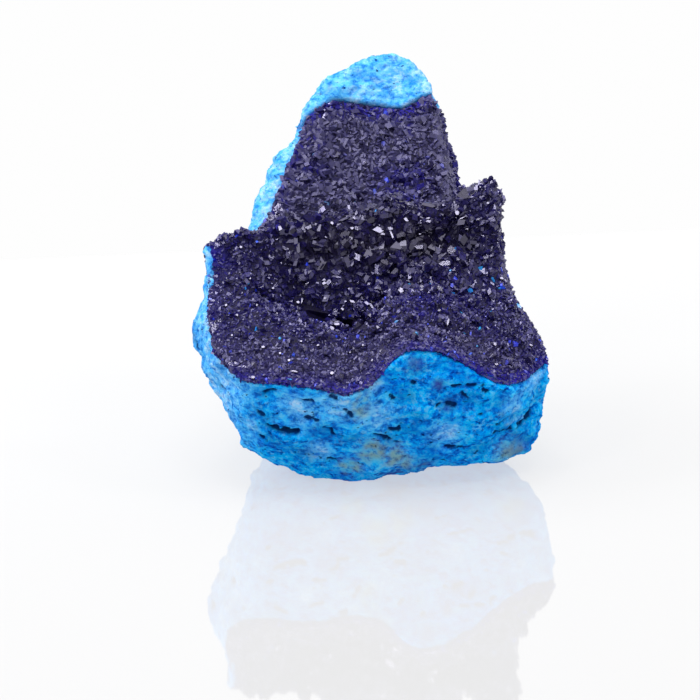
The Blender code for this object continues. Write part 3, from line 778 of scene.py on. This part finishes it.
def slab_shape(lean):
    """A closed crystal that ends in one sloping face."""
    section = [(-1.0, -1.0), (1.0, -1.0), (1.0, 1.0), (-1.0, 1.0)]
    points = [(x, y, -1.0) for x, y in section] + [(x, y, PLATE_TOP + lean * x) for x, y in section]
    faces = [(3, 2, 1, 0), (4, 5, 6, 7)] + [(i, (i + 1) % 4, 4 + (i + 1) % 4, 4 + i) for i in range(4)]
    return np.array(points), faces


SHAPES = [
    crystal_shape([(-1.0, -1.0), (1.0, -1.0), (1.0, 1.0), (-1.0, 1.0)], 0.55, 1.0),
    crystal_shape([(-1.0, 0.0), (-0.5, -1.0), (0.5, -1.0), (1.0, 0.0), (0.5, 1.0), (-0.5, 1.0)], 0.45, 0.9),
    slab_shape(0.35),
    slab_shape(0.05),
]
SHAPE_CHANCES = (5, 2, 3, 2)


def plate_shape(rng):
    """A closed flat-topped crystal with an uneven outline of four to six sides."""
    count = rng.choice(PLATE_SIDES)
    section = []
    for i in range(count):
        angle = 2 * math.pi * (i + rng.uniform(*PLATE_TURN)) / count
        reach = rng.uniform(*PLATE_REACH)
        section.append((reach * math.cos(angle), reach * math.sin(angle)))
    points = [(x, y, -1.0) for x, y in section] + [(x, y, PLATE_TOP) for x, y in section]
    faces = [tuple(range(count))[::-1], tuple(range(count, 2 * count))]
    faces += [(i, (i + 1) % count, count + (i + 1) % count, count + i) for i in range(count)]
    return np.array(points), faces


def widest(place, rear_share):
    """The widest crystal, in mm, that the druse has at a place."""
    run = COARSE_TO - COARSE_FROM
    share = held((place - COARSE_FROM).dot(run) / run.length_squared)
    away = (place - COARSE_FROM.lerp(COARSE_TO, share)).length / COARSE_SPREAD
    coarse = max(0.0, 1.0 - away) ** COARSE_FALL
    width = FINE_WIDTH + (COARSE_WIDTH - FINE_WIDTH) * coarse
    return max(width, REAR_WIDTH * rear_share)


def crust_places(crust, stone_surface, rng):
    """Random places on the outer face of the crust, each with the way it faces."""
    mesh = crust.data
    mesh.calc_loop_triangles()
    corners = points_of(mesh)
    triangles = np.array([t.vertices for t in mesh.loop_triangles])
    a, b, c = (corners[triangles[:, k]] for k in range(3))
    normals = np.cross(b - a, c - a)
    areas = np.linalg.norm(normals, axis=1) / 2
    normals /= np.maximum(2 * areas, 1e-18)[:, None]
    chance = np.cumsum(areas) / areas.sum()
    found = []
    for _ in range(TRIES):
        k = int(np.searchsorted(chance, rng.random()))
        along, across = rng.random(), rng.random()
        if along + across > 1:
            along, across = 1 - along, 1 - across
        place = Vector(a[k] + (b[k] - a[k]) * along + (c[k] - a[k]) * across)
        facing = Vector(normals[k])
        hit = stone_surface.ray_cast(place + facing * 0.01 * MM, facing, UNDERSIDE_GAP)[0]
        near, outward, _, _ = stone_surface.find_nearest(place)
        if hit is None and (place - near).dot(outward) > 0.0:
            found.append((place, facing))
    return found


def places_past_edge(stone):
    """Places on the stone that is stained just past the crust's edge."""
    stained = stone.data.attributes["stained"].data
    points = zip(stone.data.vertices, stained)
    return [(vert.co.copy(), vert.normal.copy()) for vert, own in points if own.value > 0.5]


def general_face():
    """The crust's face as it runs under its crystals."""
    sheet = welded("general_face", DRUSE_NODE)
    remesh_evenly(sheet, GENERAL_STEP, GENERAL_SOFTENINGS)
    surface = surface_of(sheet.data)
    bpy.data.objects.remove(sheet)
    return surface


def bare_stone(stone, crust_surface):
    """The places of the stone that the crust doesn't cover, ready to be searched for the nearest."""
    vertices = stone.data.vertices
    bare = [vert.co for vert in vertices if crust_surface.find_nearest(vert.co)[3] > COVERED_WITHIN]
    tree = KDTree(len(bare))
    for number, place in enumerate(bare):
        tree.insert(place, number)
    tree.balance()
    return tree


def rim_share(bare, place):
    """1 at the crust's rim, falling away over about a millimetre."""
    return math.exp(-((bare.find(place)[2] / RIM_WIDTH) ** 2))


# Where the druse is finer and more violet: along the ridge, on the hump over the arch and on the rear face.
# Each has its middle and its reach in mm, and its strength.
VIOLET_DRUSE = [
    ((-15.0, 6.5, 28.5), 1.2, 0.8), ((-12.0, 7.0, 29.8), 1.2, 0.8), ((-9.5, 7.5, 30.0), 1.2, 0.8),
    ((-7.0, 8.0, 30.0), 1.3, 0.9), ((-4.5, 8.5, 30.5), 1.3, 0.9), ((-2.0, 9.0, 31.0), 1.2, 0.8),
    ((0.5, 9.5, 31.3), 1.1, 0.7), ((9.5, -3.0, 22.0), 3.4, 0.6), ((8.5, 19.0, 31.5), 3.0, 1.0),
    ((-2.0, 21.0, 33.0), 1.6, 0.6), ((19.0, 9.5, 35.0), 1.6, 0.6), ((20.5, 6.0, 25.0), 1.0, 0.6),
    ((21.5, 3.5, 21.0), 1.2, 0.6), ((24.0, 1.0, 16.5), 1.4, 0.6),
]
# A cleft at the wall's foot, as picture points, is left nearly bare of crystals, so that the dark crust
# shows there as painted shade.
CLEFT, CLEFT_WIDTH = [(308, 311), (325, 316), (341, 322), (352, 325), (362, 325)], 1.1 * MM
CLEFT_BARENESS = 1.4


def violet_share(local):
    return max(
        strength * math.exp(-(((local - Vector(middle)).length / reach) ** 2))
        for middle, reach, strength in VIOLET_DRUSE
    )


def druse_places(stone, crust, crust_surface, general, bare, rng):
    """Where crystals can stand.

    Each place comes with its facing, its widest crystal, its share of the rim, and where it is in mm from the
    rest point.
    """
    places = crust_places(crust, surface_of(stone.data), rng) + places_past_edge(stone)
    cleft = places_on(crust_surface, CLEFT)
    cleft_shade = along_crack(np.array([place for place, _ in places]), cleft, CLEFT_WIDTH)
    ready = []
    # Painted shade: crystals are left out of the cleft, so that the dark crust shows there.
    for (place, facing), amount in zip(places, cleft_shade):
        if rng.random() < CLEFT_BARENESS * amount:
            continue
        near, normal, _, _ = general.find_nearest(place)
        if (place - near).dot(normal) > CLEAR_HEIGHT and rng.random() < LARGE_KEPT_CLEAR:
            continue
        local = (place - REST_POINT) / MM
        rear = held((local.y - REAR_FROM) / REAR_RUN)
        rim = max(rim_share(bare, place), VIOLET_RIM * violet_share(local))
        if local.y > 12.0 or (local.y > 3.0 and local.x > 9.0):
            rim = min(rim, DIM_RIM)
        ready.append((place, facing.lerp(normal, 0.5).normalized(), widest(local, rear), rim, local))
    return ready


def has_room(taken, cell, place, room):
    """Whether a crystal would stand clear of those that are placed already."""
    span = int(math.ceil(room * CELL_REACH / CELL))
    for dx, dy, dz in itertools.product(range(-span, span + 1), repeat=3):
        for other, reach in taken.get((cell[0] + dx, cell[1] + dy, cell[2] + dz), ()):
            if (place - other).length < (room + reach) / 2:
                return False
    return True


def grow_druse(ready, rng):
    """Fine crystals over the crust, in passes from the coarsest down, each one in the room that is left."""
    taken, grown = {}, []
    for share, fill in PASSES:
        for place, facing, width, rim, local in ready:
            if rng.random() > fill:
                continue
            size = max(LEAST_WIDTH, width * share) * rng.uniform(*WIDTH_VARIES) * MM
            room = size * SPACING
            cell = tuple(int(math.floor(v / CELL)) for v in place)
            if has_room(taken, cell, place, room):
                taken.setdefault(cell, []).append((place, room))
                grown.append((place, facing, size, rim, local))
    return grown


# A few thin crystals let light through: royal blue by the rims, cyan mostly low on the right of the wall.
CYAN_PLACE, CYAN_REACH = Vector((12.0, 4.0, 23.0)), 6.0
CYAN_CHANCE, CYAN_EXTRA = 0.002, 0.03
ROYAL_CHANCE, ROYAL_EXTRA = 0.012, 0.12


def glint_of(local, width, rim, rng):
    """0 for a dark crystal, about a half for one lit royal blue, and 1 for cyan."""
    small = held((1.0 - width) / 0.5)
    cyan = CYAN_CHANCE + CYAN_EXTRA * math.exp(-(((local - CYAN_PLACE).length / CYAN_REACH) ** 2))
    royal = ROYAL_CHANCE + ROYAL_EXTRA * rim
    draw = rng.random()
    if draw < cyan * small:
        return rng.uniform(0.8, 1.0)
    if draw < (cyan + royal) * small:
        return rng.uniform(0.1, 0.6)
    return 0.0


def grown_crystal(place, facing, size, rng):
    """One crystal's points and faces. It leans anywhere from upright to nearly flat on the crust."""
    shape, sides = rng.choices(SHAPES, SHAPE_CHANCES)[0]
    lean = rng.uniform(*LEAN)
    spin = Quaternion(facing, rng.uniform(0, 2 * math.pi))
    axis = Quaternion(spin @ facing.orthogonal().normalized(), lean) @ facing
    turn = axis.to_track_quat("Z", "Y") @ Quaternion((0, 0, 1), rng.uniform(0, 2 * math.pi))
    half = size / 2
    length = half * rng.uniform(*LENGTH)
    scale = np.array((half * rng.uniform(*BROAD), half * rng.uniform(*THIN), length))
    skew = np.eye(3)
    for row, column in itertools.permutations(range(3), 2):
        skew[row, column] = rng.uniform(-SKEW, SKEW)
    foot = place - facing * size * rng.uniform(*SUNK)
    return (shape @ skew * scale) @ np.array(turn.to_matrix()).T + np.array(foot), sides


def crystal_piece(name, crystals, material):
    """One mesh of many crystals, each given as points, faces and its traits. None leaves the CAD's box."""
    points, faces, own_traits = [], [], []
    start = 0
    for spread, sides, own in crystals:
        spread = spread - np.maximum(spread.max(axis=0) - HIGHEST, 0.0)
        spread = spread + np.maximum(LOWEST - spread.min(axis=0), 0.0)
        points.append(spread)
        faces.extend(tuple(start + i for i in side) for side in sides)
        own_traits.extend([own] * len(spread))
        start += len(spread)
    mesh = bpy.data.meshes.new(name)
    mesh.from_pydata(np.concatenate(points).tolist(), [], faces)
    for trait, values in zip(TRAITS, zip(*own_traits)):
        paint(mesh, trait, values)
    mesh.materials.append(material)
    piece = bpy.data.objects.new(name, mesh)
    bpy.context.scene.collection.objects.link(piece)
    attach(piece, BODY)


# Faces that catch a soft box: a picture point, width and height in mm, and turn in degrees.
BRIGHT_FACES = [
    ((457, 213), 0.70, 0.60, 20), ((467, 229), 0.50, 0.32, 0), ((420, 287), 0.90, 0.65, -15),
    ((440, 288), 0.60, 0.75, 60), ((401, 290), 0.85, 0.65, -25), ((414, 264), 0.80, 0.32, 15),
    ((419, 234), 0.60, 0.26, 0), ((392, 235), 1.50, 0.22, -72), ((448, 322), 0.90, 0.26, 70),
    ((407, 297), 0.50, 0.40, 30), ((439, 310), 0.40, 0.35, 0), ((462, 218), 1.20, 0.16, 12),
    ((478, 219), 0.50, 0.30, 10), ((488, 203), 0.32, 0.30, 0), ((502, 278), 0.45, 0.35, 0),
    ((495, 344), 0.42, 0.40, 0), ((497, 364), 0.45, 0.28, 10), ((428, 218), 0.60, 0.18, 5),
    ((430, 241), 0.36, 0.32, 0), ((419, 250), 0.40, 0.30, 0), ((405, 253), 0.50, 0.30, 50),
    ((321, 206), 0.60, 0.60, 0), ((312, 298), 0.36, 0.34, 0), ((325, 298), 0.36, 0.34, 0),
    ((298, 302), 0.42, 0.36, 0), ((302, 301), 0.70, 0.16, 70), ((304, 292), 0.50, 0.70, 80),
    ((324, 283), 0.55, 0.42, 0), ((307, 283), 0.55, 0.30, 20), ((276, 313), 0.50, 0.32, -20),
    ((237, 315), 0.36, 0.32, 0), ((226, 305), 0.30, 0.30, 0), ((332, 328), 0.42, 0.55, 60),
    ((337, 324), 0.70, 0.30, 10), ((378, 327), 0.42, 0.40, 0), ((263, 347), 0.42, 0.36, 0),
    ((280, 353), 0.32, 0.28, 0), ((289, 360), 0.36, 0.36, 0), ((294, 371), 0.85, 0.26, -15),
    ((332, 373), 0.40, 0.40, 0), ((241, 247), 0.36, 0.32, 0), ((332, 223), 0.42, 0.40, 0),
    ((352, 228), 0.50, 0.30, -20), ((250, 278), 0.28, 0.28, 0), ((352, 301), 0.80, 0.42, -35),
    ((370, 315), 0.60, 0.30, 40), ((342, 309), 0.42, 0.36, 0), ((253, 377), 0.50, 0.50, 0),
    ((280, 228), 0.60, 0.70, -30), ((371, 262), 0.50, 0.26, 0),
    ((358, 282), 0.30, 0.30, 0), ((273, 288), 0.30, 0.28, 0), ((257, 305), 0.30, 0.30, 0),
    ((232, 335), 0.28, 0.28, 0), ((318, 345), 0.32, 0.28, 0), ((301, 341), 0.30, 0.28, 0),
    ((350, 352), 0.28, 0.26, 0), ((363, 345), 0.30, 0.26, 0), ((372, 360), 0.28, 0.26, 0),
    ((301, 387), 0.36, 0.28, 0), ((496, 364), 0.42, 0.26, 0), ((531, 345), 0.50, 0.24, -20),
]
# Large dark crystals, as above, but turned away from the soft boxes.
DARK_CRYSTALS = [
    ((463, 194), 1.50, 1.30, 35), ((464, 240), 1.10, 1.50, -12), ((446, 212), 0.90, 0.80, 30),
    ((445, 263), 1.60, 0.80, 10), ((410, 253), 1.20, 0.80, 25), ((397, 212), 1.20, 0.80, 20),
    ((428, 205), 2.00, 0.50, -8), ((405, 203), 1.80, 0.50, 5), ((452, 250), 1.30, 1.00, -30),
    ((322, 266), 1.40, 0.80, 35), ((345, 234), 1.20, 0.90, 10), ((371, 220), 1.20, 0.70, 30),
    ((293, 231), 0.90, 0.70, 0), ((352, 251), 1.00, 0.60, 40), ((385, 262), 1.10, 0.60, -20),
    ((396, 264), 0.90, 0.80, 10),
]
PLATE_HEIGHT = 0.42 * MM  # how far such a face stands above the crust
PLATE_HALF = 0.55 * MM
BRIGHT_WOBBLE, DARK_WOBBLE = 0.03, 0.25
SPARKLE_BOXES = SOFT_BOXES[3:]
PLATE_TRAITS = (0.5, 0.0, 0.0, 0.0, 0.0)


def toward_soft_box(place, normal, to_camera, rng):
    """The facing, nearest to a surface's normal, in which the camera sees a soft box."""
    ways = [(REST_POINT + Vector(box[0]) * MM - place).normalized() for box in SPARKLE_BOXES]
    facing = max(((way + to_camera).normalized() for way in ways), key=lambda half: half.dot(normal))
    return (facing + Vector([rng.gauss(0, BRIGHT_WOBBLE) for _ in range(3)])).normalized()


def seen_crystals(crust_surface, rng):
    """The flat-topped crystals that the photograph shows one by one."""
    made = []
    for number, (pixel, width, height, turned) in enumerate(BRIGHT_FACES + DARK_CRYSTALS):
        place, normal = seen_on(crust_surface, *pixel)
        if place is None:
            continue
        to_camera = (CAMERA_PLACE - place).normalized()
        if number < len(BRIGHT_FACES):
            facing = toward_soft_box(place, normal, to_camera, rng)
        else:
            wobble = Vector([rng.gauss(0, DARK_WOBBLE) for _ in range(3)])
            facing = (normal + to_camera + wobble).normalized()
        long_way = RIGHT * math.cos(math.radians(turned)) + UP * math.sin(math.radians(turned))
        side = (long_way - facing * long_way.dot(facing)).normalized()
        turn = np.array((side, facing.cross(side), facing)).T
        scale = np.array((width * MM / 2, height * MM / 2, PLATE_HALF))
        shape, sides = plate_shape(rng)
        middle = place + to_camera * PLATE_HEIGHT - facing * PLATE_HALF * PLATE_TOP
        made.append(((shape * scale) @ turn.T + np.array(middle), sides))
    return made


def finish_crust(crust, general, bare, crystal, massive):
    """Glassy faces where the crust rises into its larger crystals, and dull ones between them."""
    for name, value in (("tone", 0.4), ("fine", 0.2), ("glint", 0.0), ("frost", 0.0)):
        paint(crust.data, name, np.full(len(crust.data.vertices), value))
    paint(crust.data, "rim", [rim_share(bare, vert.co) for vert in crust.data.vertices])
    crust.data.materials.append(crystal)
    crust.data.materials.append(massive)
    for face in crust.data.polygons:
        near, normal, _, _ = general.find_nearest(face.center)
        face.material_index = 0 if (face.center - near).dot(normal) > GLASSY_HEIGHT else 1
        face.use_smooth = False


def dress_druse(stone, crust_surface):
    """The crust with its finishes, and the fine crystals over it, in joined pieces."""
    crystal, massive = azurite_crystal(), massive_azurite()
    crust = welded("druse_crust", DRUSE_NODE)
    general, bare = general_face(), bare_stone(stone, crust_surface)
    finish_crust(crust, general, bare, crystal, massive)
    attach(crust, BODY)
    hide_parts(DRUSE_NODE)
    rng = random.Random(DRUSE_SEED)
    ready = druse_places(stone, crust, crust_surface, general, bare, rng)
    crystals, rim_grains = [], []
    for place, facing, size, rim, local in grow_druse(ready, rng):
        fine = 1.0 - held((widest(local, 0.0) - FINE_WIDTH) / (COARSE_WIDTH - FINE_WIDTH))
        lip_frost = min(LIP_ETCHED, (LIP_ETCHED_FROM - local.y) / LIP_ETCHED_RUN)
        frost = max(held((local.y - ETCHED_FROM) / ETCHED_RUN), lip_frost)
        tone, shown_rim = rng.random(), rim * rng.uniform(0.1, 1.0)
        own = (tone, fine, shown_rim, glint_of(local, size / MM, rim, rng), frost)
        kind = rim_grains if rng.random() < RIM_GRAINS * rim else crystals
        kind.append((*grown_crystal(place, facing, size, rng), own))
    crystals += [(*shape, PLATE_TRAITS) for shape in seen_crystals(crust_surface, rng)]
    for number, first in enumerate(range(0, len(crystals), PIECE_CRYSTALS)):
        crystal_piece(f"druse_crystals_{number + 1}", crystals[first : first + PIECE_CRYSTALS], crystal)
    crystal_piece("druse_rim_grains", rim_grains, massive)


# ---------------------------------------------------------------- the scene

bpy.context.scene.view_settings.view_transform = "Standard"
place_camera()
lay_floor()
light_studio()
plain_crust = welded("plain_crust", DRUSE_NODE)
crust_face = surface_of(plain_crust.data)
bpy.data.objects.remove(plain_crust)
broken_stone = break_stone(crust_face)
dress_druse(broken_stone, crust_face)
